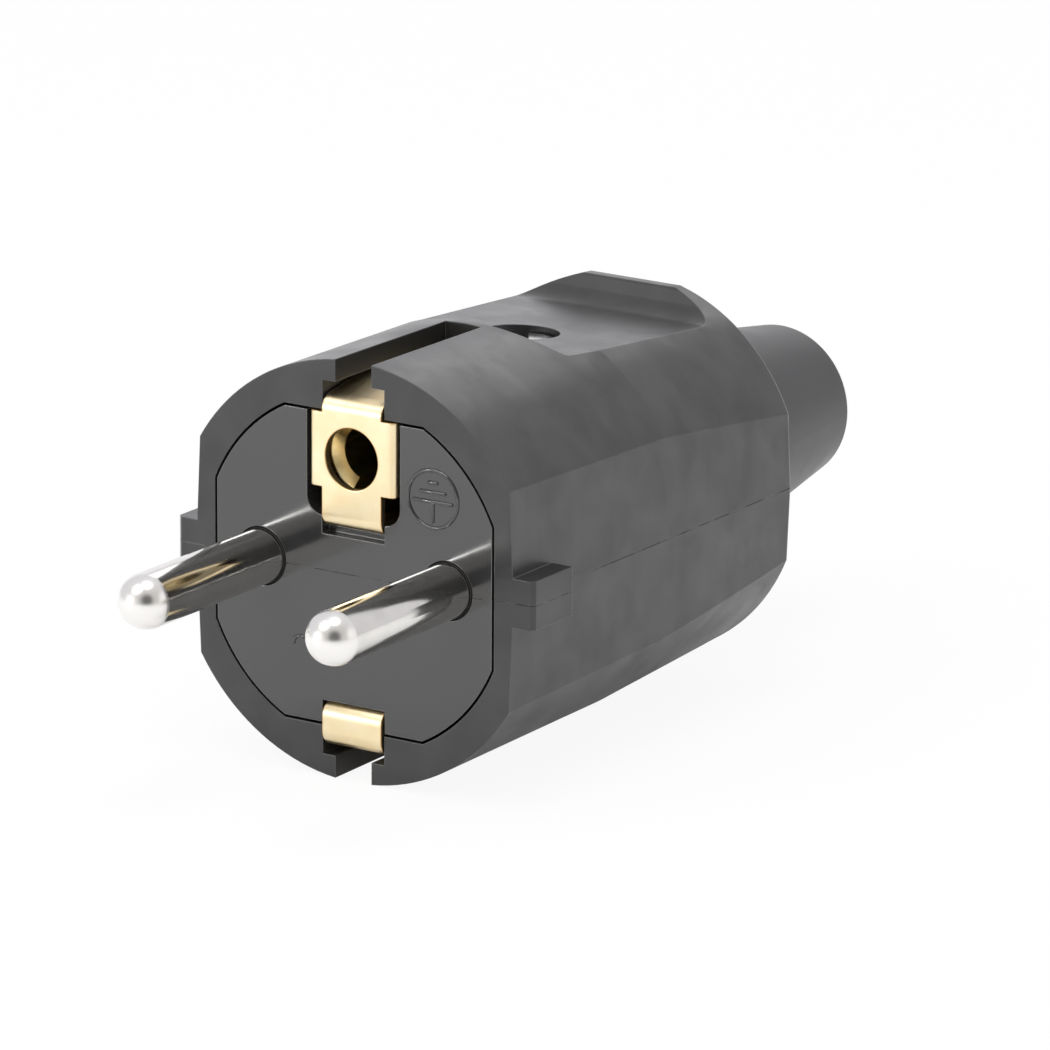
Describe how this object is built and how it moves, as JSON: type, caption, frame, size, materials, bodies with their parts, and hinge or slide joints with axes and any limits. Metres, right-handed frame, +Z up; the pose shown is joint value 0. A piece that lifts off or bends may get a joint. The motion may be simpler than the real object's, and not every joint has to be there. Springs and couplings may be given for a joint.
{
  "type": "schuko plug",
  "caption": "Rewirable mains plug with round pins, sprung earth strips above and below, an earth-pin socket, a split grip casing and a tapered bend sleeve for the cord.",
  "frame": {"origin": "centre of the engagement face, midway between the two pins", "axes": "-Y along the pins towards the socket, +Y towards the cord, +X to the right seen from the socket side, +Z up towards the earth-pin socket"},
  "size_m": [0.0364, 0.0872, 0.0368],
  "materials": {
    "casing": "satin moulded, faintly mottled",
    "carrier": "glossy moulded",
    "pin_plating": "bright nickel plate, turned",
    "earth_brass": "bright rolled sheet",
    "screw_steel": "zinc plated",
    "clamp_plastic": "moulded",
    "sleeve_rubber": "soft matte"
  },
  "bodies": {
    "root": {"upper_shell": "casing", "lower_shell": "casing", "contact_carrier": "carrier", "left_pin": "pin_plating", "right_pin": "pin_plating", "pin_terminal_screws": "screw_steel", "upper_earth_contact": "earth_brass", "lower_earth_contact": "earth_brass", "earth_socket_spring": "earth_brass", "earth_terminal_nut": "screw_steel", "earth_clamp_washer": "screw_steel", "earth_terminal_screw": "screw_steel", "case_screw": "screw_steel", "case_nut": "screw_steel", "cord_clamp": "clamp_plastic", "cord_clamp_screws": "screw_steel", "bend_sleeve": "sleeve_rubber"}
  },
  "joints": []
}
